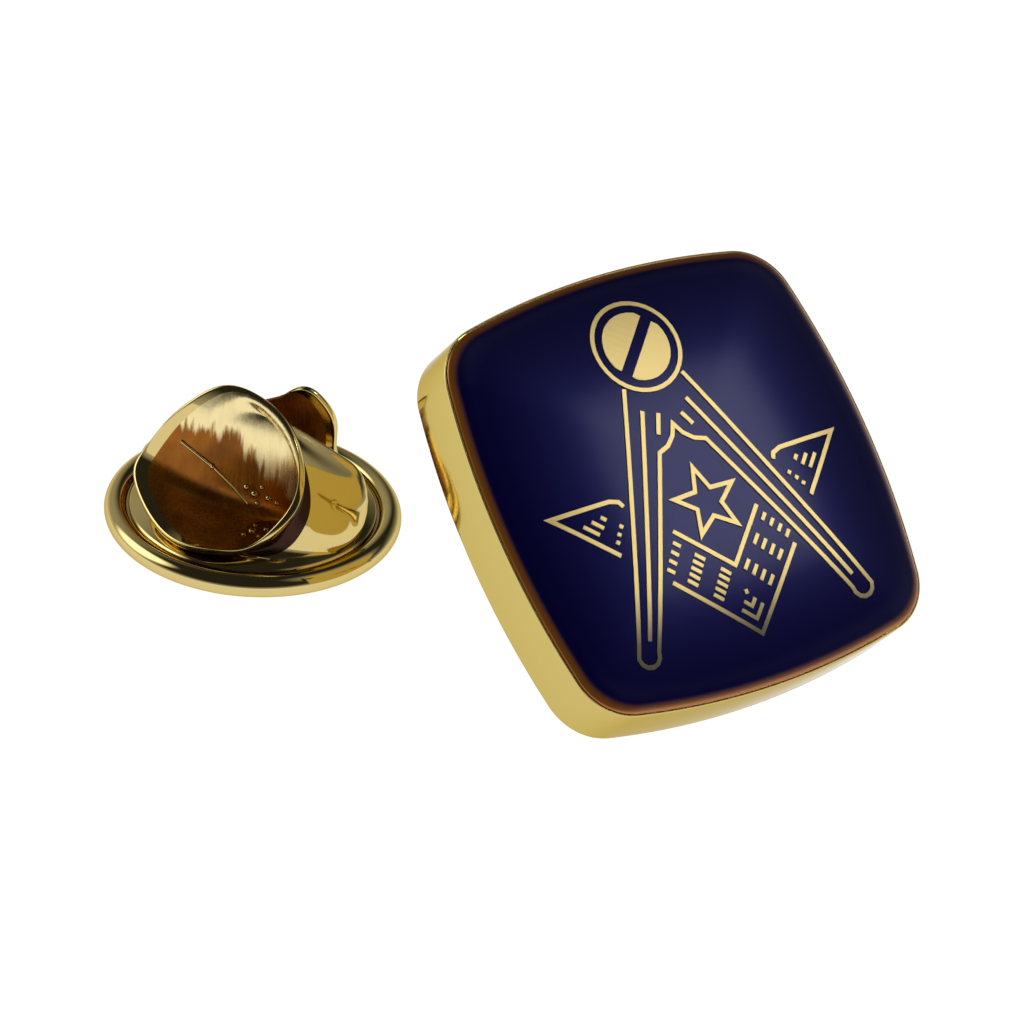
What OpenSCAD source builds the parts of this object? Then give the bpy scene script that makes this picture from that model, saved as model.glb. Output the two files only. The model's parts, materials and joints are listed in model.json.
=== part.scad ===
// Enamelled lapel pin with a post, lying beside the butterfly clutch that has been taken off it.
// The badge rests on its lower edge and on the tip of its post, face up.
// Units are millimetres. The origin is on the surface, under the middle of the whole.

/* [Badge] */
// Half the badge's width, at the middle of its bowed sides
half_w = 8.5; // [7.5:0.1:10]
// Radius of the long bowed sides
side_r = 32; // [24:1:50]
// Radius of the four corners
corner_r = 2.35; // [1.8:0.05:3]
// Height of the polished wall
cup_h = 2.6; // [2:0.1:3.5]
// Width of the metal lip round the enamel
lip_w = 0.08; // [0.06:0.01:0.2]
// Depth of the recess that holds the enamel
recess_d = 0.5; // [0.3:0.1:0.8]

/* [Enamel cushion] */
// Rise from the lip to the middle of the cushion
dome_h = 0.75; // [0.5:0.05:1.2]
// How flat the middle is: 2 is an even lens, more is flatter
dome_flat = 3.2; // [2:0.1:6]
// How round the edge is: 1 is a plain slope, 2 starts upright
dome_edge = 1.5; // [1:0.1:2]

/* [Post] */
// Radius of the post
post_r = 0.55; // [0.45:0.05:0.65]
// Length of the post behind the back plate
post_l = 7.05; // [6:0.05:8]
// Length of the pointed end
tip_l = 1.1; // [0.8:0.1:1.5]
// Radius of the blunted tip
tip_r = 0.12; // [0.08:0.02:0.2]
// Radius of the solder collar at the post's root
collar_r = 1.3; // [1:0.1:1.8]

/* [Emblem] */
// Width of the main lines
line_w = 0.17; // [0.14:0.01:0.22]
// Width of the short ruled marks
mark_w = 0.15; // [0.12:0.01:0.18]
// How far the lines stand out of the enamel
line_h = 0.05; // [0.03:0.01:0.1]
// Height of the hinge's centre above the badge's centre
hinge_y = 5.28; // [5:0.01:5.5]
// Radius of the hinge ring, to the middle of its line
hinge_r = 1.8; // [1.7:0.01:1.9]
// Radius of the screw head
screw_r = 1.4; // [1.2:0.05:1.45]
// Width of the screw's slot
slot_w = 0.46; // [0.3:0.02:0.6]
// Depth of the square's outer corner below the badge's centre
square_low = 6.55; // [6.3:0.05:6.6]
// Width of the square's arms
arm_w = 1.93; // [1.8:0.01:2]
// Radius of the star
star_r = 1.4; // [1:0.05:1.5]
// Height of the star's centre above the badge's centre
star_y = -1.2; // [-1.4:0.05:-1]

/* [Butterfly clutch] */
// Radius of the clutch's disc
disc_r = 5.75; // [5.5:0.05:6]
// Radius of the rolled rim's bead
rim_r = 0.45; // [0.4:0.01:0.5]
// Thickness of the disc's plate
plate_t = 0.35; // [0.3:0.05:0.4]
// Height of the top of the cap
cap_top = 1.1; // [1:0.05:1.2]
// Height of the cap's edge, where its flange slopes down
flange_low = 0.8; // [0.75:0.01:0.9]
// Radius of the hole for the post
hole_r = 0.7; // [0.65:0.01:0.75]
// Thickness of the wings' sheet
sheet_t = 0.3; // [0.2:0.05:0.35]
// How much the mouth flares out of the wing behind it
flare = 0.1; // [0:0.01:0.15]
// How low the back wing lies behind its mouth, as a share of the front wing's height
squat = 0.86; // [0.8:0.01:1]

/* [How they lie] */
// Turn of the badge about the vertical
yaw = 37.5; // [0:0.5:60]
// Clutch's centre from the badge's, to the right
clutch_dx = -15.3; // [-20:0.1:-14.5]
// Clutch's centre from the badge's, away from the front
clutch_dy = 5.3; // [0:0.1:8]

/* [Hidden] */

gold = [0.83, 0.69, 0.36];
pale_gold = [0.93, 0.84, 0.58];
navy = [0.03, 0.02, 0.2];

// Clearance between pieces that meet
gap = 0.02;
// Height of the lines' undersides above the enamel
line_gap = 0.03;
// Greatest length of a line between two stations
station = 0.8;

// Cushion outline: four bowed sides joined by four corner arcs
side_c = half_w - side_r;
corner_c = (side_c + sqrt(2 * pow(side_r - corner_r, 2) - side_c * side_c)) / 2;
join_a = atan2(corner_c, corner_c - side_c);
side_steps = 10;
corner_steps = 8;

function turned(p, a) = [p[0] * cos(a) - p[1] * sin(a), p[0] * sin(a) + p[1] * cos(a)];

function outline(inset) = [
    for (quarter = [0:3])
        each concat(
            [for (i = [0:side_steps - 1])
                let (a = join_a * (2 * i / side_steps - 1), r = side_r - inset)
                turned([side_c + r * cos(a), r * sin(a)], 90 * quarter)],
            [for (i = [0:corner_steps - 1])
                let (a = join_a + (90 - 2 * join_a) * i / corner_steps, r = corner_r - inset)
                turned([corner_c + r * cos(a), corner_c + r * sin(a)], 90 * quarter)]
        )
];

// Distance from the centre to the outline, in the direction of p
function reach(p, inset) =
    let (
        d = abs(p[0]) > abs(p[1]) ? [abs(p[0]), abs(p[1])] : [abs(p[1]), abs(p[0])],
        n = max(norm(d), 0.001),
        c = d[0] / n,
        s = d[1] / n,
        rs = side_r - inset,
        rc = corner_r - inset,
        to_side = c * side_c + sqrt(pow(c * side_c, 2) - side_c * side_c + rs * rs),
        to_corner_c = corner_c * (c + s),
        under = to_corner_c * to_corner_c - 2 * corner_c * corner_c + rc * rc
    )
    atan2(to_side * s, to_side * c - side_c) < join_a ? to_side : to_corner_c + sqrt(max(under, 0));

// Height of the enamel at u, 0 in the middle and 1 at the lip
function dome_z(u) = cup_h + dome_h * pow(1 - pow(u, dome_flat), 1 / dome_edge);
function enamel_z(p) = dome_z(norm(p) / reach(p, lip_w + gap));

function at_z(points, z) = [for (p = points) [p[0], p[1], z]];

// Faces of a solid made of rings with the same number of points, closed by one point at each end
function ring_faces(rings, count) =
    let (low = rings * count, high = low + 1)
    concat(
        [for (k = [0:rings - 2]) for (i = [0:count - 1])
            let (j = (i + 1) % count, a = k * count)
            each [[a + i, a + count + i, a + count + j], [a + i, a + count + j, a + j]]],
        [for (i = [0:count - 1]) [low, i, (i + 1) % count]],
        [for (i = [0:count - 1]) [high, (rings - 1) * count + (i + 1) % count, (rings - 1) * count + i]]
    );

module lofted(rings, low, high) {
    polyhedron(
        points = concat([for (r = rings) each r], [low, high]),
        faces = ring_faces(len(rings), len(rings[0]))
    );
}

// A thin band between two rows of points, laid on the enamel
module band(left, right, closed) {
    n = len(left);
    function stations(row, lift) = [for (p = row) [p[0], p[1], enamel_z(p) + line_gap + lift]];
    points = concat(stations(left, 0), stations(right, 0), stations(right, line_h), stations(left, line_h));
    sides = [for (k = [0:3]) for (i = [0:closed ? n - 1 : n - 2])
        let (j = (i + 1) % n, a = k * n, b = ((k + 1) % 4) * n)
        each [[a + i, b + i, b + j], [a + i, b + j, a + j]]];
    ends = closed ? [] : [
        [0, 3 * n, 2 * n], [0, 2 * n, n],
        [n - 1, 2 * n - 1, 3 * n - 1], [n - 1, 3 * n - 1, 4 * n - 1]
    ];
    polyhedron(points = points, faces = concat(sides, ends));
}

function unit(v) = v / norm(v);
function left_of(v) = [-v[1], v[0]];

// Offset of station i that keeps the band's width through the path's bends
function mitre(path, i, closed) =
    let (
        n = len(path),
        before = closed || i > 0 ? unit(path[i] - path[(i + n - 1) % n]) : unit(path[1] - path[0]),
        after = closed || i < n - 1 ? unit(path[(i + 1) % n] - path[i]) : before,
        mid = unit(left_of(before) + left_of(after))
    )
    mid / max(mid * left_of(after), 0.3);

// The path with stations added along its long stretches
function filled(path, closed) =
    let (n = len(path))
    [for (i = [0:closed ? n - 1 : n - 2])
        let (a = path[i], b = path[(i + 1) % n], k = ceil(norm(b - a) / station))
        for (t = [0:k - 1]) a + (b - a) * t / k,
     if (!closed) path[n - 1]];

module stroke(path, w = line_w, closed = false) {
    p = filled(path, closed);
    offsets = [for (i = [0:len(p) - 1]) mitre(p, i, closed) * w / 2];
    band(p + offsets, p - offsets, closed);
}

function mirrored(path) = [for (p = path) [-p[0], p[1]]];
function reversed(path) = [for (i = [len(path) - 1:-1:0]) path[i]];
function arc(c, r, from, to, steps) = [for (i = [0:steps])
    let (a = from + (to - from) * i / steps)
    [c[0] + r * cos(a), c[1] + r * sin(a)]];

// Tilt at which the lower edge and the post's tip touch the surface together
tilt = atan2(post_l, half_w - tip_r);
badge_z = half_w * sin(tilt);

function turned_up(p) = [
    p[0],
    p[1] * cos(tilt) - p[2] * sin(tilt),
    p[1] * sin(tilt) + p[2] * cos(tilt)
];
function lying(p) = turned(turned_up(p), yaw);

// Extent of the whole on the surface, for the origin
rim_points = [
    for (p = at_z(outline(0), 0)) lying(p),
    for (p = at_z(outline(0), cup_h)) lying(p)
];
function low_end(axis) = min(min([for (p = rim_points) p[axis]]), [clutch_dx, clutch_dy][axis] - disc_r);
function high_end(axis) = max(max([for (p = rim_points) p[axis]]), [clutch_dx, clutch_dy][axis] + disc_r);
badge_x = -(low_end(0) + high_end(0)) / 2;
badge_y = -(low_end(1) + high_end(1)) / 2;

module on_badge() {
    translate([badge_x, badge_y, badge_z]) rotate([tilt, 0, yaw]) children();
}

module on_clutch() {
    translate([badge_x + clutch_dx, badge_y + clutch_dy, 0]) children();
}

// Gold plated cup with its back plate and the soldered post, one solid
module setting() {
    collar_h = 0.35;
    color(gold) on_badge() {
        difference() {
            linear_extrude(cup_h) polygon(outline(0));
            translate([0, 0, cup_h - recess_d]) linear_extrude(recess_d + 1) polygon(outline(lip_w));
        }
        translate([0, 0, -collar_h]) cylinder(h = collar_h + 0.5, r = collar_r, $fn = 48);
        translate([0, 0, tip_l - post_l]) cylinder(h = post_l - tip_l + 0.5, r = post_r, $fn = 48);
        translate([0, 0, -post_l]) cylinder(h = tip_l, r1 = tip_r, r2 = post_r, $fn = 48);
    }
}

// Dark blue cushion that fills the recess and stands out of it
module enamel_dome() {
    floor_z = cup_h - recess_d + gap;
    edge = outline(lip_w + gap);
    ring_shares = [0.995, 0.98, 0.95, 0.91, 0.85, 0.76, 0.64, 0.5, 0.34, 0.18];
    rings = [for (u = ring_shares) at_z(edge * u, dome_z(u))];
    color(navy) on_badge()
        lofted(
            concat([at_z(edge, floor_z), at_z(edge, cup_h)], rings),
            [0, 0, floor_z],
            [0, 0, dome_z(0)]
        );
}

// Points of the compasses, on the right hand side of the badge's middle line
leg_top = [1.34, 3.83];
leg_out = [5.4, -6.02];
leg_in = [4.5, -5.98];
leg_neck = [1.07, 1.1];
throat = [[0.6, 1.26], [0.24, 1.58]];
throat_top = [0, 2.02];
leg_mid = [[1.01, 2.82], [4.7, -5.5]];
short_dash = [[[-0.4, 2.57], [-0.78, 1.78]], [[0.54, 2.34], [0.82, 1.79]]];

// Both legs as one line, from the ring round each foot and over the throat
module compasses_lines() {
    foot_r = norm(leg_out - leg_in) / 2;
    foot_c = (leg_out + leg_in) / 2;
    foot_a = atan2(leg_out[1] - leg_in[1], leg_out[0] - leg_in[0]);
    right = concat([leg_top], arc(foot_c, foot_r, foot_a, foot_a - 180, 6), [leg_neck], throat);
    color(pale_gold) on_badge() {
        stroke(concat(right, [throat_top], reversed(mirrored(right))));
        stroke(leg_mid);
        stroke(mirrored(leg_mid));
        for (dash = short_dash) stroke(dash);
    }
}

// A place on the square's arm: along it from the inner corner, and outwards across it
inner_y = arm_w * sqrt(2) - square_low;
function on_arm(along, across, side) =
    [side * (along + across) / sqrt(2), inner_y + (along - across) / sqrt(2)];

// Ruled marks: distance along the arm, slant of the last row, mark length, rows on the left and right
RULED = [
    [0.27, -0.08, 0.46, 5, 4],
    [1.42, -0.09, 0.46, 5, 4],
    [2.43, -0.14, 0.34, 4, 4]
];
RULED_FIRST = 0.42;
RULED_LAST = 1.53;

// Marks near the arm's tip: start along the arm, distance across it, length
TIP_MARKS = [
    [4.60, 0.83, 0.16], [4.56, 1.17, 0.16], [4.50, 1.50, 0.16],
    [5.30, 0.88, 0.24], [5.28, 1.23, 0.52], [5.34, 1.56, 0.68]
];

module square_lines() {
    outer_end = 5.93 - arm_w;
    arm_tip = on_arm(7.3, arm_w, 1);
    arm_heel = on_arm(4.3, arm_w, 1);
    head = [[3.47, -0.42], [3.58, -0.2], [3.95, -0.07], arm_tip, arm_heel];
    color(pale_gold) on_badge() {
        stroke([on_arm(2.74, 0, -1), [0, inner_y], on_arm(2.74, 0, 1)]);
        outer_reach = outer_end - arm_w;
        stroke([on_arm(outer_reach, arm_w, -1), [0, -square_low], on_arm(outer_reach, arm_w, 1)]);
        for (side = [-1, 1]) {
            stroke([for (p = head) [side * p[0], p[1]]]);
            for (row = RULED) {
                rows = side < 0 ? row[3] : row[4];
                for (k = [0:rows - 1]) {
                    f = k / (rows - 1);
                    start = row[0] + row[1] * f - row[2] / 2;
                    across = RULED_FIRST + (RULED_LAST - RULED_FIRST) * f;
                    stroke([on_arm(start, across, side), on_arm(start + row[2], across, side)], mark_w);
                }
            }
            for (row = TIP_MARKS)
                stroke([on_arm(row[0], row[1], side), on_arm(row[0] + row[2], row[1], side)], mark_w);
        }
        // Nested corner marks between the two ruled arms
        stroke([[0, -4.98], [0, -4.8]], mark_w);
        for (row = [[5.47, 0.36], [5.97, 0.68]])
            stroke([[-row[1] / sqrt(2), row[1] / sqrt(2) - row[0]], [0, -row[0]],
                    [row[1] / sqrt(2), row[1] / sqrt(2) - row[0]]], mark_w);
    }
}

module hinge_ring() {
    color(pale_gold) on_badge()
        stroke([for (a = [0:10:350]) [0, hinge_y] + hinge_r * [cos(a), sin(a)]], closed = true);
}

// Screw head: two segments of a disc, parted by the slanting slot
module hinge_screw() {
    slot_a = 45;
    cut_a = asin(slot_w / 2 / screw_r);
    color(pale_gold) on_badge()
        for (side = [-1, 1]) {
            round = [for (i = [1:13])
                let (a = cut_a + (180 - 2 * cut_a) * i / 14)
                [screw_r * cos(a), screw_r * sin(a) * side]];
            straight = [for (p = round) [p[0], side * slot_w / 2]];
            place = function (row) [for (p = row) [0, hinge_y] + turned(p, slot_a)];
            band(place(side < 0 ? straight : round), place(side < 0 ? round : straight), false);
        }
}

// Five pointed star, an outline like the other lines
module star_lines() {
    notch = 0.42;
    color(pale_gold) on_badge()
        stroke([for (k = [0:9])
            let (a = 90 + 36 * k, r = star_r * (k % 2 == 0 ? 1 : notch))
            [r * cos(a), star_y + r * sin(a)]], closed = true);
}

// Disc with its rolled rim and the hole for the post
module clutch_base() {
    color(gold) on_clutch() rotate_extrude($fn = 96) {
        translate([disc_r - rim_r, rim_r]) circle(r = rim_r, $fn = 32);
        translate([hole_r, rim_r - plate_t / 2]) square([disc_r - rim_r - hole_r, plate_t]);
    }
}

// A wing's sections, from the clutch's centre: its flared mouth, its middle and its narrow tail
// The back wing is drawn as the front one is, then turned half round, and its mouth is smaller
// Columns: lower left, bottom, foot, lower right, right, right shoulder, upper right, top, crest,
// left shoulder, upper left, left, heel
FRONT_MOUTH = [
    [-3.4, -3.3, 1.05], [-1.6, -4.4, 1.1], [0, -4.3, 1.3], [1.3, -3.9, 2.3], [1.95, -3.3, 3.2],
    [2.0, -2.4, 4.2], [1.45, -1.3, 5.15], [0.4, -0.5, 5.8], [-1.2, -0.1, 6.2],
    [-2.6, -0.1, 5.45], [-3.6, 0, 4.3], [-4.45, 0, 2.85], [-4.7, -0.9, 1.9]
];
BACK_MOUTH = [
    [-3.1, -3.4, 1.05], [-1.6, -4.3, 1.1], [-0.1, -4.2, 1.3], [1.2, -3.8, 2.1], [1.7, -3.2, 3.0],
    [1.5, -2.4, 3.9], [0.7, -1.6, 4.6], [-0.4, -0.9, 5.0], [-1.6, -0.3, 5.95],
    [-2.5, -0.1, 5.6], [-3.05, -0.05, 4.6], [-3.1, -0.1, 3.3], [-3.5, -0.8, 2.1]
];
MIDDLE = [
    [0.7, -2.7, 0.75], [1.9, -3.85, 0.75], [3.0, -3.4, 0.85], [3.25, -3.1, 1.4], [3.25, -2.8, 2.1],
    [3.0, -2.4, 3.0], [2.6, -1.8, 3.8], [2.1, -1.2, 4.4], [1.5, -0.8, 4.85],
    [0.85, -0.8, 4.2], [0.4, -0.8, 3.1], [0.1, -0.85, 2.0], [0.1, -1.3, 1.0]
];
TAIL = [
    [3.85, -1.6, 0.8], [4.05, -1.85, 0.8], [4.25, -1.85, 0.95], [4.5, -1.65, 1.35], [4.6, -1.45, 1.75],
    [4.65, -1.25, 2.15], [4.6, -1.0, 2.5], [4.5, -0.75, 2.8], [4.25, -0.6, 3.0],
    [4.1, -0.65, 2.55], [4.0, -0.75, 2.0], [3.9, -0.95, 1.5], [3.85, -1.3, 1.05]
];
// Points from one column's knot to the next
knot_steps = 3;
// Places along a wing where a section is drawn, 0 at the mouth and 1 at the tail
outer_places = [1, 0.85, 0.7, 0.55, 0.4, 0.25, 0.08, 0.03, 0];
inner_places = [0, 0.03, 0.08, 0.25, 0.4, 0.55, 0.7, 0.85];
// How far behind the lip the flare ends
flare_end = 0.08;
// Height of the cap's underside, just above the disc's plate
cap_low = rim_r + plate_t / 2 + gap;

// Closed curve through the knots
function spline(k, i, t) =
    let (n = len(k), a = k[(i + n - 1) % n], b = k[i], c = k[(i + 1) % n], d = k[(i + 2) % n])
    (2 * b + (c - a) * t + (2 * a - 5 * b + 4 * c - d) * t * t + (3 * b - a - 3 * c + d) * t * t * t) / 2;
function smooth_loop(k) =
    [for (i = [0:len(k) - 1]) for (j = [0:knot_steps - 1]) spline(k, i, j / knot_steps)];

function sum(v, i = 0) = i < len(v) ? v[i] + sum(v, i + 1) : 0;
function middle(points) = [for (axis = [0:2]) sum([for (p = points) p[axis]]) / len(points)];

// Points brought down towards the cap's underside
function lowered(points, share) = [for (p = points) [p[0], p[1], cap_low + (p[2] - cap_low) * share]];

// A section at s, 0 at the mouth and 1 at the tail, with its wall moved inward
function section(knots, share, s, inward) =
    let (
        mouth = smooth_loop(knots),
        mid = lowered(smooth_loop(MIDDLE), share),
        tail = lowered(smooth_loop(TAIL), share),
        c = middle(mouth),
        neck = 1 - flare * min(1, s / flare_end),
        near = (1 - s) * (1 - 2 * s),
        half = 4 * s * (1 - s),
        far = s * (2 * s - 1),
        lip = [for (p = mouth) c + (p - c) * neck],
        plain = lip * near + mid * half + tail * far,
        core = middle(plain)
    )
    [for (p = plain) p - unit(p - core) * inward];

// One wing: its outer face from the tail to the mouth, then its inner face back
module wing(knots, share) {
    outer = [for (s = outer_places) section(knots, share, s, 0)];
    inner = [for (s = inner_places) section(knots, share, s, sheet_t)];
    lofted(concat(outer, inner), middle(outer[0]), middle(inner[len(inner) - 1]));
}

// Cap with its two wings, folded out of one sheet
module clutch_wings() {
    cap_r = disc_r - 2 * rim_r - 0.05;
    edge_round = 0.1;
    flange_w = 0.9;
    color(gold) on_clutch() {
        rotate_extrude($fn = 96) polygon([
            [hole_r, cap_low], [cap_r, cap_low], [cap_r, flange_low - edge_round / 2],
            [cap_r - edge_round, flange_low], [cap_r - flange_w, cap_top], [hole_r, cap_top]
        ]);
        wing(FRONT_MOUTH, 1);
        rotate([0, 0, 180]) wing(BACK_MOUTH, squat);
    }
}

setting();
enamel_dome();
compasses_lines();
square_lines();
hinge_ring();
hinge_screw();
star_lines();
clutch_base();
clutch_wings();
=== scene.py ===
"""Looks of an enamelled lapel pin and of the butterfly clutch that lies beside it.

The badge is a polished gold plated cup filled with a dark blue enamel cushion, with the square and
compasses on it in thin gold lines. Lengths in the tables and named sizes are millimetres, and
angles are degrees.
"""

import json
import math

import bmesh
import bpy
from mathutils import Matrix, Vector


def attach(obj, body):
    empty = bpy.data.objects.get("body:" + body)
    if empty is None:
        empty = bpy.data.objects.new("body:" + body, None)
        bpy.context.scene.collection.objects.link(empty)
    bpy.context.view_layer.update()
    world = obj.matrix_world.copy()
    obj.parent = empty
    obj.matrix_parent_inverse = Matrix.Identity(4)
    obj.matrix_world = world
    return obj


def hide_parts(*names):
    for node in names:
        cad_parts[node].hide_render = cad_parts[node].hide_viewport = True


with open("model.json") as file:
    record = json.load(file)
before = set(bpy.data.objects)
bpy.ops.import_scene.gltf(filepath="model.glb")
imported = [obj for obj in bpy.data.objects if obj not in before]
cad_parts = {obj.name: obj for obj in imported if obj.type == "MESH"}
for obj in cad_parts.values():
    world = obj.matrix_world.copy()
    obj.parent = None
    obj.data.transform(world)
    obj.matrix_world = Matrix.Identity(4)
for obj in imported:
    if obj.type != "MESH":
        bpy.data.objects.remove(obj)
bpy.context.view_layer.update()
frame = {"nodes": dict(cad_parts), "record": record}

MM = 0.001

# Badge: a cushion with four bowed sides, and the cup's wall round it
HALF_W = 8.5
SIDE_R = 32.0
CORNER_R = 2.35
CUP_H = 2.6
LIP_W = 0.08
RECESS_D = 0.5

# Enamel: rise of its dome, how flat its middle is and how round its edge
ENAMEL_GAP = 0.02
DOME_H = 0.75
DOME_FLAT = 3.2
DOME_EDGE = 1.5

# The finished enamel is raised by this much, so that the emblem's lines lie on it
LIFT = 0.03

# Heights over the lip between which the painted reflection of the cup's gold wall, a brown band on the
# enamel's steep edge, fades out
REFLECTION_PAINT_FULL = 0.06
REFLECTION_PAINT_GONE = 0.19

# Heights over the lip between which the resin coat goes from a full mirror to a faint one: on the
# flat of the dome it is little of a mirror, so that the enamel stays dark blue
COAT_FULL = 0.1
COAT_FAINT = 0.38
COAT_ON_TOP = 0.1

# Distances below the badge's centre between which the emblem's lines turn grey in painted shade
LINES_SHADE_FROM = 3.6
LINES_SHADE_FULL = 6.6

# Post on the back
POST_R = 0.55
POST_L = 7.05
TIP_L = 1.1
COLLAR_R = 1.3
COLLAR_H = 0.35

# Clutch: its disc with the rolled rim, and the cap with its sloping flange
DISC_R = 5.75
RIM_R = 0.45
PLATE_T = 0.35
HOLE_R = 0.7
CAP_R = 4.8
CAP_LOW = RIM_R + PLATE_T / 2 + 0.02
CAP_TOP = 1.1
FLANGE_LOW = 0.8
FLANGE_W = 0.9

# Wings: thickness of their sheet, how much the mouth flares and where along the wing the flare ends,
# and how low the back wing lies behind its mouth, as a share of the front wing's height
SHEET_T = 0.3
FLARE = 0.12
FLARE_END = 0.11
SQUAT = 0.86

# Places along a wing where a section is drawn, 0 at the mouth and 1 at the tail, how many of them the
# gold lip takes and how many the crease behind it, painted near black as shade, reaches
WING_PLACES = [0.01, 0.025, 0.05, 0.09, 0.13, 0.2, 0.3, 0.43, 0.57, 0.71, 0.85, 1]
LIP_RINGS = 3
CREASE_RINGS = 6

# Raised fold inside the front wing, in the clutch's own frame, and the burr on it
GRIP_EDGE = [(-2.85, -0.66, 3.75), (-1.6, -0.95, 2.9), (-0.75, -1.03, 2.1), (-0.08, -1.2, 1.4)]
GRIP_R = 0.06
BURR_R = 0.096

# Small blisters in the sheet beside that fold: place and radius
BLISTERS = [
    (-0.25, -1.1, 2.2, 0.13), (0.08, -1.14, 1.95, 0.17), (0.35, -1.12, 2.25, 0.1),
    (0.62, -1.16, 1.8, 0.14), (0.2, -1.25, 1.6, 0.1), (0.95, -1.2, 1.65, 0.1),
]

# The back wing's outer wall takes the dark brown brass as painted shade where it turns this far towards
# the narrow gap between the wings
GAP_SHADE_FACING = -0.45

# The front wing's hollow side is painted as lit, in pale polished gold, above either of two planes, in
# the clutch's own frame, and in dark brown painted shade below them; the edge between the two wanders
# up and down by this much
LIT_HOLLOW_FROM = (-1.0, 0.0, 4.45)
LIT_HOLLOW_UPS = ((0.0, 0.0, 1.0), (0.957, 0.0, 1.0))
LIT_EDGE_RAGGED = 0.35

# Repeats of the patterns for each metre: waves 2.2 mm long, rubbing marks 0.11 mm and streaks of the
# drawing die 0.2 mm apart, and brown clouds 1.4 mm across. The real marks and streaks are finer, and
# are drawn as coarse as they need to show
SHEET_WAVES = 450.0
RUBBING_MARKS = 9000.0
DIE_STREAKS = 5000.0
BROWN_CLOUDS = 700.0

# Steps of round shapes, and the angle from which an edge is sharp
SIDE_STEPS = 30
CORNER_STEPS = 20
POST_STEPS = 64
DISC_STEPS = 160
BEAD_STEPS = 24
FOLD_SIDES = 12
BLISTER_RINGS = 8
SHARP_ANGLE = 35

# Corners nearer to each other than this are one
WELD_WITHIN = 1e-4

# Rounds in which a wing's control points are moved until the subdivided loop fits
CAGE_ROUNDS = 12


def mount(name):
    """Place and direction of one of the record's mounts, in metres."""
    found = next(m for m in frame["record"]["mounts"] if m["name"] == name)
    return Vector(found["pos_m"]), Vector(found["axis"])


def badge_place():
    """From the badge's own frame, in millimetres, to the part's: the post's mount gives it."""
    post, away = mount("post")
    face = -away
    yaw = math.atan2(face.x, -face.y)
    right = Vector((math.cos(yaw), math.sin(yaw), 0))
    up = face.cross(right)
    middle_of_post = (POST_L - TIP_L + COLLAR_H) / 2
    centre = post + face * middle_of_post * MM
    turn = Matrix((right, up, face)).transposed().to_4x4()
    return Matrix.Translation(centre) @ turn @ Matrix.Scale(MM, 4)


def clutch_place():
    """From the clutch's own frame, in millimetres, to the part's."""
    hole, _ = mount("clutch_hole")
    return Matrix.Translation((hole.x, hole.y, 0)) @ Matrix.Scale(MM, 4)


# Camera: measured from the ellipse of the clutch's disc and the outline of the badge
VIEW_ELEVATION = 32.04
VIEW_ROLL = 4.41
VIEW_DISTANCE = 286.9
VIEW_TARGET = (0.076, 6.962, 0.0)
VIEW_LENS = 259.5
VIEW_SENSOR = 36


def make_camera():
    elevation = math.radians(VIEW_ELEVATION)
    back = Vector((0, -math.cos(elevation), math.sin(elevation)))
    level_up = Vector((0, math.sin(elevation), math.cos(elevation)))
    level = Matrix((Vector((1, 0, 0)), level_up, back)).transposed().to_4x4()
    data = bpy.data.cameras.new("camera")
    data.lens = VIEW_LENS
    data.sensor_width = VIEW_SENSOR
    data.clip_start = 0.01
    data.clip_end = 10
    camera = bpy.data.objects.new("camera", data)
    place = Matrix.Translation((Vector(VIEW_TARGET) + back * VIEW_DISTANCE) * MM)
    roll = Matrix.Rotation(math.radians(VIEW_ROLL), 4, "Z")
    camera.matrix_world = place @ level @ roll
    bpy.context.collection.objects.link(camera)
    bpy.context.scene.camera = camera


# Materials


def linear(hex_colour):
    """An sRGB hex colour as the linear red, green, blue and alpha that shaders take."""
    parts = [int(hex_colour[i:i + 2], 16) / 255 for i in (1, 3, 5)]
    return [c / 12.92 if c <= 0.04045 else ((c + 0.055) / 1.055) ** 2.4 for c in parts] + [1.0]


def node(tree, kind, settings=None, inputs=None, **values):
    """Adds a node. Settings are its own; inputs, by name or number, are joined to an output or set to
    a value; values set the inputs of their names."""
    made = tree.nodes.new(kind)
    for name, value in (settings or {}).items():
        setattr(made, name, value)
    for name, value in (inputs or {}).items():
        if isinstance(value, bpy.types.NodeSocket):
            tree.links.new(value, made.inputs[name])
        else:
            made.inputs[name].default_value = value
    for name, value in values.items():
        made.inputs[name.replace("_", " ")].default_value = value
    return made


def new_material(name):
    made = bpy.data.materials.new(name)
    made.use_nodes = True
    tree = made.node_tree
    shader = tree.nodes["Principled BSDF"]
    place = tree.nodes.new("ShaderNodeTexCoord").outputs["Object"]
    return made, tree, shader, place


def along(tree, place, origin, direction):
    """Distance from a point along a direction, in the material's own metres."""
    towards = Vector(direction).normalized()
    reach = node(tree, "ShaderNodeVectorMath", {"operation": "DOT_PRODUCT"}, {0: place, 1: towards})
    offset = node(
        tree, "ShaderNodeMath", {"operation": "SUBTRACT"},
        {0: reach.outputs["Value"], 1: towards.dot(origin)},
    )
    return offset.outputs["Value"]


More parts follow.
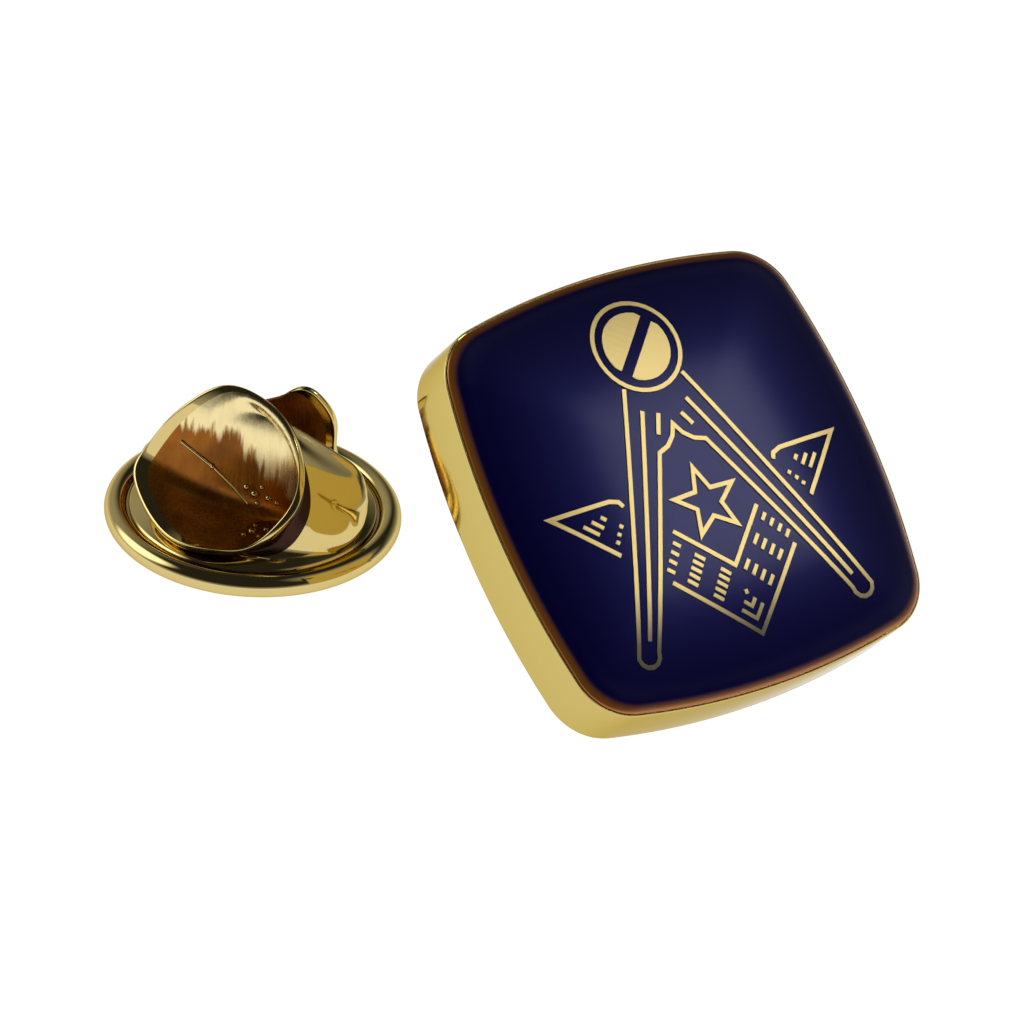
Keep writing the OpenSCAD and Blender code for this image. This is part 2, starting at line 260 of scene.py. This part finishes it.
def polished_gold_plate(name, hex_colour):
    """Brass, polished and flash plated with gold: mirror bright, with the slight waviness of
    stamped sheet and rubbing marks that only roughen the reflections."""
    made, tree, shader, place = new_material(name)
    shader.inputs["Base Color"].default_value = linear(hex_colour)
    shader.inputs["Metallic"].default_value = 1.0
    shader.inputs["Specular Tint"].default_value = linear("#d8ccaa")
    waves = node(tree, "ShaderNodeTexNoise", None, {"Vector": place}, Scale=SHEET_WAVES, Detail=2.0)
    rubbing = node(tree, "ShaderNodeTexNoise", None, {"Vector": place}, Scale=RUBBING_MARKS, Detail=3.0)
    spread = node(
        tree, "ShaderNodeMapRange", None, {"Value": rubbing.outputs["Fac"]},
        From_Min=0.35, From_Max=0.75, To_Min=0.05, To_Max=0.1,
    )
    tree.links.new(spread.outputs["Result"], shader.inputs["Roughness"])
    bump = node(
        tree, "ShaderNodeBump", None, {"Height": waves.outputs["Fac"]}, Strength=0.3, Distance=2e-5,
    )
    tree.links.new(bump.outputs["Normal"], shader.inputs["Normal"])
    return made


def pale_gold_line(to_badge):
    """The emblem's lines: pale, satin gold, painted grey as shade towards the points of the compasses'
    legs."""
    made, tree, shader, place = new_material("pale_gold_line")
    down = to_badge.to_3x3() @ Vector((-0.15, -1, 0))
    # Painted shade: the lines' colour greys with distance below the badge's centre
    depth = node(
        tree, "ShaderNodeMapRange", {"interpolation_type": "SMOOTHSTEP"},
        {"Value": along(tree, place, to_badge.translation, down)},
        From_Min=LINES_SHADE_FROM * MM, From_Max=LINES_SHADE_FULL * MM, To_Min=0.0, To_Max=1.0,
    )
    colour = node(
        tree, "ShaderNodeMix", {"data_type": "RGBA"},
        {"Factor": depth.outputs["Result"], 6: linear("#f2d890"), 7: linear("#6a6456")},
    )
    tree.links.new(colour.outputs[2], shader.inputs["Base Color"])
    shader.inputs["Metallic"].default_value = 1.0
    shader.inputs["Roughness"].default_value = 0.42
    return made


def lit_hollow_share(tree, place, to_clutch, streaks):
    """1 under the front wing's crest, where its hollow side is painted as lit, and 0 in the rest of the
    wings, which keep the brown painted shade. The edge between the two is ragged, along the streaks of
    the die."""
    origin = to_clutch @ Vector(LIT_HOLLOW_FROM)
    heights = [along(tree, place, origin, up) for up in LIT_HOLLOW_UPS]
    upper = node(tree, "ShaderNodeMath", {"operation": "MAXIMUM"}, {0: heights[0], 1: heights[1]})
    ragged = node(
        tree, "ShaderNodeMapRange", None, {"Value": streaks},
        From_Min=0.3, From_Max=0.7, To_Min=-LIT_EDGE_RAGGED * MM, To_Max=LIT_EDGE_RAGGED * MM,
    )
    edge = node(
        tree, "ShaderNodeMath", {"operation": "ADD"},
        {0: upper.outputs["Value"], 1: ragged.outputs["Result"]},
    )
    high = node(
        tree, "ShaderNodeMapRange", {"interpolation_type": "SMOOTHSTEP"},
        {"Value": edge.outputs["Value"]},
        From_Min=-0.25 * MM, From_Max=0.3 * MM, To_Min=0.0, To_Max=1.0,
    )
    front = node(
        tree, "ShaderNodeMapRange", None,
        {"Value": along(tree, place, to_clutch.translation, (0, -1, 0))},
        From_Min=0.0, From_Max=0.1 * MM, To_Min=0.0, To_Max=1.0,
    )
    both = node(
        tree, "ShaderNodeMath", {"operation": "MULTIPLY"},
        {0: high.outputs["Result"], 1: front.outputs["Result"]},
    )
    return both.outputs["Value"]


def raw_brass(name, dark, light, to_clutch=None):
    """Brass as it left the press: brown, in clouds, with the fine streaks of the drawing die. Its dark
    browns are painted shade where it lines the wings' hollows, crease and the gap between them. With
    the clutch's place it turns pale polished gold under the front wing's crest, a painted lit copy of
    the same hollow side."""
    made, tree, shader, place = new_material(name)
    # The die draws the sheet upwards, so its streaks are eight times as tall as they are wide
    stretch = node(tree, "ShaderNodeMapping", None, {"Vector": place}, Scale=(1, 1, 0.12))
    streaks = node(
        tree, "ShaderNodeTexNoise", None, {"Vector": stretch.outputs["Vector"]},
        Scale=DIE_STREAKS, Detail=3.0,
    ).outputs["Fac"]
    cloudy = node(tree, "ShaderNodeTexNoise", None, {"Vector": place}, Scale=BROWN_CLOUDS, Detail=2.0)
    dull = node(tree, "ShaderNodeMapRange", None, {"Value": streaks}, To_Min=0.12, To_Max=0.4)
    tree.links.new(dull.outputs["Result"], shader.inputs["Roughness"])
    bump = node(tree, "ShaderNodeBump", None, {"Height": streaks}, Strength=0.5, Distance=3e-5)
    tree.links.new(bump.outputs["Normal"], shader.inputs["Normal"])
    colour = node(
        tree, "ShaderNodeMix", {"data_type": "RGBA"},
        {"Factor": cloudy.outputs["Fac"], 6: linear(dark), 7: linear(light)},
    )
    shader.inputs["Metallic"].default_value = 0.7
    if to_clutch is not None:
        # Painted light and shade: pale polished gold where the hollow side is lit, dark brown brass
        # below
        plated = lit_hollow_share(tree, place, to_clutch, streaks)
        colour = node(
            tree, "ShaderNodeMix", {"data_type": "RGBA"},
            {"Factor": plated, 6: colour.outputs[2], 7: linear("#f3e0a6")},
        )
        metal = node(tree, "ShaderNodeMapRange", None, {"Value": plated}, To_Min=0.7, To_Max=1.0)
        tree.links.new(metal.outputs["Result"], shader.inputs["Metallic"])
    tree.links.new(colour.outputs[2], shader.inputs["Base Color"])
    return made


def domed_enamel(to_badge):
    """Dark blue enamel under a domed coat of clear resin. The coat's steep edge is painted brown gold,
    partly metallic, as a painted reflection of the cup's gold wall behind it."""
    made, tree, shader, place = new_material("domed_navy_enamel")
    up = to_badge.to_3x3() @ Vector((0, 0, 1))
    height = along(tree, place, to_badge @ Vector((0, 0, CUP_H + LIFT)), up)
    # Painted reflection: the dome's lowest band is brown gold and partly metallic, standing in for the
    # cup's wall seen in the resin
    glow = node(
        tree, "ShaderNodeMapRange", {"interpolation_type": "SMOOTHSTEP"}, {"Value": height},
        From_Min=REFLECTION_PAINT_FULL * MM, From_Max=REFLECTION_PAINT_GONE * MM, To_Min=1.0, To_Max=0.0,
    ).outputs["Result"]
    colour = node(
        tree, "ShaderNodeMix", {"data_type": "RGBA"},
        {"Factor": glow, 6: linear("#06023a"), 7: linear("#b06c20")},
    )
    tree.links.new(colour.outputs[2], shader.inputs["Base Color"])
    metal = node(tree, "ShaderNodeMapRange", None, {"Value": glow}, To_Min=0.0, To_Max=0.6)
    tree.links.new(metal.outputs["Result"], shader.inputs["Metallic"])
    shader.inputs["Roughness"].default_value = 0.28
    shader.inputs["IOR"].default_value = 1.5
    shader.inputs["Specular Tint"].default_value = linear("#2730bc")
    coat = node(
        tree, "ShaderNodeMapRange", {"interpolation_type": "SMOOTHSTEP"}, {"Value": height},
        From_Min=COAT_FULL * MM, From_Max=COAT_FAINT * MM, To_Min=1.0, To_Max=COAT_ON_TOP,
    )
    tree.links.new(coat.outputs["Result"], shader.inputs["Coat Weight"])
    shader.inputs["Coat Roughness"].default_value = 0.12
    shader.inputs["Coat IOR"].default_value = 1.5
    return made


# Shapes


def piece(name, bm, materials, replaced):
    """Turns a finished bmesh into a piece that stands for a node and rides on the part."""
    bmesh.ops.remove_doubles(bm, verts=bm.verts, dist=WELD_WITHIN * MM)
    bmesh.ops.recalc_face_normals(bm, faces=bm.faces)
    for face in bm.faces:
        face.smooth = True
    mesh = bpy.data.meshes.new(name)
    bm.to_mesh(mesh)
    bm.free()
    mesh.set_sharp_from_angle(angle=math.radians(SHARP_ANGLE))
    for material in materials:
        mesh.materials.append(material)
    made = bpy.data.objects.new(name, mesh)
    bpy.context.collection.objects.link(made)
    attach(made, "root")
    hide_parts(replaced)


def cushion_loop(bm, inset, z):
    """Closed loop of the badge's outline: each bowed side and each corner is spun from one vertex."""
    side_c = HALF_W - SIDE_R
    corner_c = (side_c + math.sqrt(2 * (SIDE_R - CORNER_R) ** 2 - side_c ** 2)) / 2
    join = math.atan2(corner_c, corner_c - side_c)
    side_r = SIDE_R - inset
    start = bm.verts.new((side_c + side_r * math.cos(join), -side_r * math.sin(join), z))
    edges = []
    end = [start]
    for quarter in range(4):
        turn = Matrix.Rotation(math.radians(90) * quarter, 3, "Z")
        arcs = (
            (Vector((side_c, 0, z)), 2 * join, SIDE_STEPS),
            (Vector((corner_c, corner_c, z)), math.radians(90) - 2 * join, CORNER_STEPS),
        )
        for centre, angle, steps in arcs:
            before = set(bm.edges)
            made = bmesh.ops.spin(
                bm, geom=end, cent=turn @ centre, axis=(0, 0, 1), angle=angle, steps=steps,
            )
            end = [g for g in made["geom_last"] if isinstance(g, bmesh.types.BMVert)]
            edges += [e for e in bm.edges if e not in before]
    bmesh.ops.weld_verts(bm, targetmap={end[0]: start})
    return [e for e in edges if e.is_valid] + [e for e in start.link_edges if e not in edges]


def bridge(bm, loops):
    """Walls from each loop of edges to the next."""
    for low, high in zip(loops, loops[1:]):
        bmesh.ops.bridge_loops(bm, edges=low + high)


def turned_profile(bm, profile, steps):
    """A profile of (radius, height) pairs, spun once round the upright axis."""
    verts = [bm.verts.new((r, 0, z)) for r, z in profile]
    edges = [bm.edges.new(pair) for pair in zip(verts, verts[1:])]
    bmesh.ops.spin(
        bm, geom=verts + edges, cent=(0, 0, 0), axis=(0, 0, 1), angle=math.tau, steps=steps,
        use_merge=True,
    )


def make_setting(to_badge, material):
    bm = bmesh.new()
    floor_z = CUP_H - RECESS_D
    # Columns: distance in from the outline, height; the rounded back edge, the wall and the lip
    profile = [
        (0.6, 0.0), (0.15, 0.0), (0.09, 0.012), (0.04, 0.045), (0.01, 0.095), (0.0, 0.16),
        (0.0, CUP_H - 0.1), (0.006, CUP_H - 0.03), (0.018, CUP_H - 0.01), (0.035, CUP_H),
        (LIP_W - 0.02, CUP_H - 0.002), (LIP_W, CUP_H - 0.015), (LIP_W, floor_z), (0.6, floor_z),
    ]
    loops = [cushion_loop(bm, inset, z) for inset, z in profile]
    bridge(bm, loops)
    for end in (loops[0], loops[-1]):
        bmesh.ops.contextual_create(bm, geom=end)
    tip = -POST_L
    # Columns: radius, height; the blunt point, the shaft and the solder collar
    post = [
        (0, tip), (0.08, tip + 0.02), (0.13, tip + 0.08), (0.5, tip + TIP_L - 0.1),
        (POST_R, tip + TIP_L + 0.05), (POST_R, -0.62), (0.62, -0.5), (0.78, -0.41), (1.1, -COLLAR_H),
        (COLLAR_R - 0.06, -0.3), (COLLAR_R, -0.2), (COLLAR_R, 0.2), (0, 0.2),
    ]
    turned_profile(bm, post, POST_STEPS)
    bmesh.ops.transform(bm, matrix=to_badge, verts=bm.verts)
    piece("cup_with_post", bm, [material], "setting")


def dome_z(u):
    """Height of the enamel at u, 0 in the middle and 1 at the lip."""
    return CUP_H + DOME_H * (1 - u ** DOME_FLAT) ** (1 / DOME_EDGE)


def make_enamel(to_badge, material):
    bm = bmesh.new()
    inset = LIP_W + ENAMEL_GAP
    floor_z = CUP_H - RECESS_D + ENAMEL_GAP
    loops = [cushion_loop(bm, *place) for place in ((0.7, floor_z), (inset, floor_z), (inset, CUP_H))]
    bridge(bm, loops)
    bmesh.ops.contextual_create(bm, geom=loops[0])
    rim = loops[-1]
    # Sizes of the dome's rings against the outline, close together where it is steep
    shares = [
        0.9985, 0.996, 0.992, 0.986, 0.978, 0.967, 0.953, 0.935, 0.91, 0.88,
        0.84, 0.79, 0.73, 0.66, 0.58, 0.49, 0.4, 0.3, 0.2, 0.1,
    ]
    before = 1.0
    for share in shares:
        made = bmesh.ops.extrude_edge_only(bm, edges=rim)["geom"]
        verts = [g for g in made if isinstance(g, bmesh.types.BMVert)]
        rim = [g for g in made if isinstance(g, bmesh.types.BMEdge)]
        bmesh.ops.scale(bm, vec=(share / before, share / before, 1), verts=verts)
        bmesh.ops.translate(bm, vec=(0, 0, dome_z(share) - dome_z(before)), verts=verts)
        before = share
    made = bmesh.ops.contextual_create(bm, geom=rim)
    cap = bmesh.ops.poke(bm, faces=made["faces"])
    bmesh.ops.translate(bm, vec=(0, 0, dome_z(0) - dome_z(before)), verts=cap["verts"])
    bmesh.ops.transform(bm, matrix=to_badge @ Matrix.Translation((0, 0, LIFT)), verts=bm.verts)
    piece("enamel_cushion", bm, [material], "enamel_dome")


def make_clutch_base(to_clutch, material):
    bm = bmesh.new()
    low = RIM_R - PLATE_T / 2
    high = RIM_R + PLATE_T / 2
    root = math.asin(PLATE_T / 2 / RIM_R)
    bead = []
    for k in range(BEAD_STEPS + 1):
        a = math.pi + root + (math.tau - 2 * root) * k / BEAD_STEPS
        bead.append((DISC_R - RIM_R + RIM_R * math.cos(a), RIM_R + RIM_R * math.sin(a)))
    # Columns: radius, height; the hole's lower edge, the bead and the hole's upper edge
    profile = [
        (HOLE_R, low + 0.05), (HOLE_R + 0.05, low), *bead,
        (HOLE_R + 0.05, high), (HOLE_R, high - 0.05), (HOLE_R, low + 0.05),
    ]
    turned_profile(bm, profile, DISC_STEPS)
    bmesh.ops.transform(bm, matrix=to_clutch, verts=bm.verts)
    piece("clutch_disc", bm, [material], "clutch_base")


# A wing's sections, from the clutch's centre: its flared mouth, its middle and its narrow tail
# Columns: lower left, bottom, foot, lower right, right, right shoulder, upper right, top, crest,
# left shoulder, upper left, left, heel
FRONT_MOUTH = [
    (-3.4, -3.3, 1.05), (-1.6, -4.4, 1.1), (0, -4.3, 1.3), (1.3, -3.9, 2.3), (1.95, -3.3, 3.2),
    (2.0, -2.4, 4.2), (1.45, -1.3, 5.15), (0.4, -0.5, 5.8), (-1.2, -0.1, 6.2),
    (-2.6, -0.1, 5.45), (-3.6, 0, 4.3), (-4.45, 0, 2.85), (-4.7, -0.9, 1.9),
]
BACK_MOUTH = [
    (-3.1, -3.4, 1.05), (-1.6, -4.3, 1.1), (-0.1, -4.2, 1.3), (1.2, -3.8, 2.1), (1.7, -3.2, 3.0),
    (1.5, -2.4, 3.9), (0.7, -1.6, 4.6), (-0.4, -0.9, 5.0), (-1.6, -0.3, 5.95),
    (-2.5, -0.1, 5.6), (-3.05, -0.05, 4.6), (-3.1, -0.1, 3.3), (-3.5, -0.8, 2.1),
]
MIDDLE = [
    (0.7, -2.7, 0.75), (1.9, -3.85, 0.75), (3.0, -3.4, 0.85), (3.25, -3.1, 1.4), (3.25, -2.8, 2.1),
    (3.0, -2.4, 3.0), (2.6, -1.8, 3.8), (2.1, -1.2, 4.4), (1.5, -0.8, 4.85),
    (0.85, -0.8, 4.2), (0.4, -0.8, 3.1), (0.1, -0.85, 2.0), (0.1, -1.3, 1.0),
]
TAIL = [
    (3.85, -1.6, 0.8), (4.05, -1.85, 0.8), (4.25, -1.85, 0.95), (4.5, -1.65, 1.35), (4.6, -1.45, 1.75),
    (4.65, -1.25, 2.15), (4.6, -1.0, 2.5), (4.5, -0.75, 2.8), (4.25, -0.6, 3.0),
    (4.1, -0.65, 2.55), (4.0, -0.75, 2.0), (3.9, -0.95, 1.5), (3.85, -1.3, 1.05),
]

# Material slots of a wing's outer faces; the hollow side of each takes the slot after it
LIP, BODY, SHADED_RAW, CREASE = 0, 1, 2, 3


def lowered(points, share):
    """Points brought down towards the cap's underside."""
    return [Vector((x, y, CAP_LOW + (z - CAP_LOW) * share)) for x, y, z in points]


def wing_section(knots, share, s):
    """A wing's section at s, 0 at the flared mouth and 1 at the tail."""
    mouth = [Vector(k) for k in knots]
    centre = sum(mouth, Vector()) / len(mouth)
    neck = 1 - FLARE * min(1, s / FLARE_END)
    near, half, far = (1 - s) * (1 - 2 * s), 4 * s * (1 - s), s * (2 * s - 1)
    rows = zip(mouth, lowered(MIDDLE, share), lowered(TAIL, share))
    return [(centre + (m - centre) * neck) * near + d * half + t * far for m, d, t in rows]


def cage(points):
    """Control points whose subdivided loop passes through the given ones."""
    made = [p.copy() for p in points]
    count = len(points)
    for _ in range(CAGE_ROUNDS):
        limit = [(made[i - 1] + made[i] * 4 + made[(i + 1) % count]) / 6 for i in range(count)]
        made = [m + p - q for m, p, q in zip(made, points, limit)]
    return made


def wing_mesh(knots, share, materials):
    """One wing as a finished mesh: its rings bridged, given the sheet's thickness and subdivided. A
    lid over the mouth closes the shell while its normals are turned outwards."""
    bm = bmesh.new()
    rings = []
    for s in WING_PLACES:
        verts = [bm.verts.new(p) for p in cage(wing_section(knots, share, s))]
        rings.append([bm.edges.new(pair) for pair in zip(verts, verts[1:] + verts[:1])])
    bridge(bm, rings)
    bmesh.ops.contextual_create(bm, geom=rings[-1])
    lid = bmesh.ops.contextual_create(bm, geom=rings[0])["faces"]
    bmesh.ops.recalc_face_normals(bm, faces=bm.faces)
    if bm.calc_volume(signed=True) < 0:
        bmesh.ops.reverse_faces(bm, faces=bm.faces)
    bmesh.ops.delete(bm, geom=lid, context="FACES_ONLY")
    lip = {v for ring in rings[:LIP_RINGS] for edge in ring for v in edge.verts}
    crease = {v for ring in rings[LIP_RINGS - 1:CREASE_RINGS] for edge in ring for v in edge.verts}
    for face in bm.faces:
        face.material_index = BODY
        if lip.issuperset(face.verts):
            face.material_index = LIP
        elif crease.issuperset(face.verts):
            face.material_index = CREASE
    mesh = bpy.data.meshes.new("wing")
    bm.to_mesh(mesh)
    bm.free()
    # The slots come first, because the sheet's material offset stops at the last one
    for material in materials:
        mesh.materials.append(material)
    shape = bpy.data.objects.new("wing", mesh)
    bpy.context.collection.objects.link(shape)
    sheet = shape.modifiers.new("sheet", "SOLIDIFY")
    sheet.thickness = SHEET_T
    sheet.offset = -1
    sheet.material_offset = 1
    smooth = shape.modifiers.new("smooth", "SUBSURF")
    smooth.levels = smooth.render_levels = 3
    finished = shape.evaluated_get(bpy.context.evaluated_depsgraph_get())
    made = bpy.data.meshes.new_from_object(finished)
    bpy.data.objects.remove(shape)
    return made


def add_grip_edge(bm, points):
    """Raised fold on the front wing's hollow side, where the spring's grip is bent inwards."""
    for low, high in zip(points, points[1:]):
        start, way = Vector(low), Vector(high) - Vector(low)
        place = Matrix.Translation(start + way / 2) @ way.to_track_quat("Z", "Y").to_matrix().to_4x4()
        bmesh.ops.create_cone(
            bm, segments=FOLD_SIDES, radius1=GRIP_R, radius2=GRIP_R, depth=way.length + GRIP_R,
            cap_ends=True, matrix=place,
        )


def add_blisters(bm, places):
    """Low round bumps, half sunk in the sheet."""
    for x, y, z, radius in places:
        centre = Matrix.Translation((x, y, z))
        bmesh.ops.create_uvsphere(
            bm, u_segments=FOLD_SIDES, v_segments=BLISTER_RINGS, radius=radius, matrix=centre,
        )


def make_clutch_wings(to_clutch, gold, raw, crease_shade):
    # Slots: lip; body and the lip's hollow side; the body's hollow side; crease; its hollow side. The
    # hollow sides take brown painted shade and the crease near black painted shade
    materials = [gold, gold, raw, crease_shade, raw]
    bm = bmesh.new()
    bm.from_mesh(wing_mesh(BACK_MOUTH, SQUAT, materials))
    bmesh.ops.rotate(bm, cent=(0, 0, 0), matrix=Matrix.Rotation(math.pi, 3, "Z"), verts=bm.verts)
    # Painted shade on the back wing's faces that turn to the gap between the wings
    for face in bm.faces:
        if face.material_index in (BODY, CREASE) and face.normal.y < GAP_SHADE_FACING:
            face.material_index = SHADED_RAW
    bm.from_mesh(wing_mesh(FRONT_MOUTH, 1, materials))
    add_grip_edge(bm, GRIP_EDGE)
    add_blisters(bm, [(*GRIP_EDGE[1], BURR_R), *BLISTERS])
    # Columns: radius, height; the underside, the flange's edge, its slope and the flat top
    cap = [
        (HOLE_R, CAP_LOW + 0.04), (HOLE_R + 0.04, CAP_LOW),
        (CAP_R - 0.03, CAP_LOW), (CAP_R, CAP_LOW + 0.03),
        (CAP_R, FLANGE_LOW - 0.07), (CAP_R - 0.03, FLANGE_LOW - 0.03), (CAP_R - 0.1, FLANGE_LOW),
        (CAP_R - FLANGE_W + 0.12, CAP_TOP - 0.05), (CAP_R - FLANGE_W, CAP_TOP - 0.01),
        (CAP_R - FLANGE_W - 0.15, CAP_TOP), (HOLE_R + 0.04, CAP_TOP), (HOLE_R, CAP_TOP - 0.04),
        (HOLE_R, CAP_LOW + 0.04),
    ]
    turned_profile(bm, cap, DISC_STEPS)
    bmesh.ops.transform(bm, matrix=to_clutch, verts=bm.verts)
    piece("clutch_spring", bm, materials, "clutch_wings")


# Studio

# Reach of the table, and how far under the part it lies
FLOOR_REACH = 3000
FLOOR_DROP = 0.02


def make_floor():
    bm = bmesh.new()
    bmesh.ops.create_grid(bm, x_segments=1, y_segments=1, size=FLOOR_REACH * MM)
    mesh = bpy.data.meshes.new("floor")
    bm.to_mesh(mesh)
    bm.free()
    made, _, shader, _ = new_material("white_table")
    shader.inputs["Base Color"].default_value = linear("#404040")
    shader.inputs["Roughness"].default_value = 0.8
    shader.inputs["Emission Color"].default_value = linear("#ffffff")
    shader.inputs["Emission Strength"].default_value = 1.0
    mesh.materials.append(made)
    floor = bpy.data.objects.new("floor", mesh)
    floor.location.z = -FLOOR_DROP * MM
    bpy.context.collection.objects.link(floor)


# Pale walls and a dark ceiling: their brightness, and the sines of the elevations between which
# one turns into the other
WALLS = 0.5
CEILING = 0.025
WALLS_FROM = -0.02
CEILING_FROM = 0.36

# Soft light panels round the table: azimuth and elevation of the middle, angles from it at which the
# panel starts to fade and has gone, and its brightness
PANELS = [
    (174, 32, 8, 30, 2.4),
    (2, 47, 12, 34, 0.36),
    (1.5, 46.5, 0, 6.8, 12.0),
    (125, 12, 12, 50, 0.4),
    (55, -5, 10, 40, 0.25),
]


def make_world():
    world = bpy.data.worlds.new("studio")
    bpy.context.scene.world = world
    world.use_nodes = True
    tree = world.node_tree
    direction = tree.nodes.new("ShaderNodeTexCoord").outputs["Generated"]
    parts = node(tree, "ShaderNodeSeparateXYZ", None, {"Vector": direction})
    total = node(
        tree, "ShaderNodeMapRange", {"interpolation_type": "SMOOTHSTEP"}, {"Value": parts.outputs["Z"]},
        From_Min=WALLS_FROM, From_Max=CEILING_FROM, To_Min=WALLS, To_Max=CEILING,
    ).outputs["Result"]
    for azimuth, elevation, full, gone, strength in PANELS:
        a, e = math.radians(azimuth), math.radians(elevation)
        middle = (math.cos(a) * math.cos(e), math.sin(a) * math.cos(e), math.sin(e))
        near = node(
            tree, "ShaderNodeVectorMath", {"operation": "DOT_PRODUCT"}, {0: direction, 1: middle},
        )
        glow = node(
            tree, "ShaderNodeMapRange", {"interpolation_type": "SMOOTHSTEP"},
            {"Value": near.outputs["Value"]},
            From_Min=math.cos(math.radians(gone)), From_Max=math.cos(math.radians(full)),
            To_Min=0.0, To_Max=strength,
        )
        total = node(
            tree, "ShaderNodeMath", {"operation": "ADD"}, {0: total, 1: glow.outputs["Result"]},
        ).outputs["Value"]
    background = tree.nodes["Background"]
    background.inputs["Color"].default_value = linear("#ffffff")
    tree.links.new(total, background.inputs["Strength"])


bpy.context.scene.view_settings.view_transform = "Standard"
make_camera()
make_world()
make_floor()

to_badge = badge_place()
to_clutch = clutch_place()
badge_gold = polished_gold_plate("polished_gold_plate", "#ccb76e")
clutch_gold = polished_gold_plate("pale_gold_plate", "#d4be7e")
# Painted shade and light: dark brown brass for the wings' hollows and the gap between them, pale gold
# where the front wing's hollow is lit
raw = raw_brass("hollow_brass_painted_shade", "#341202", "#c87812", to_clutch)
# Painted shade: the crease behind the lip in near black brown
crease_shade = raw_brass("crease_painted_shade_brass", "#140804", "#4c2408")
line_gold = pale_gold_line(to_badge)
enamel = domed_enamel(to_badge)

make_setting(to_badge, badge_gold)
make_enamel(to_badge, enamel)
make_clutch_base(to_clutch, clutch_gold)
make_clutch_wings(to_clutch, clutch_gold, raw, crease_shade)
for name in ("compasses_lines", "square_lines", "hinge_ring", "hinge_screw", "star_lines"):
    for slot in frame["nodes"][name].material_slots:
        slot.material = line_gold
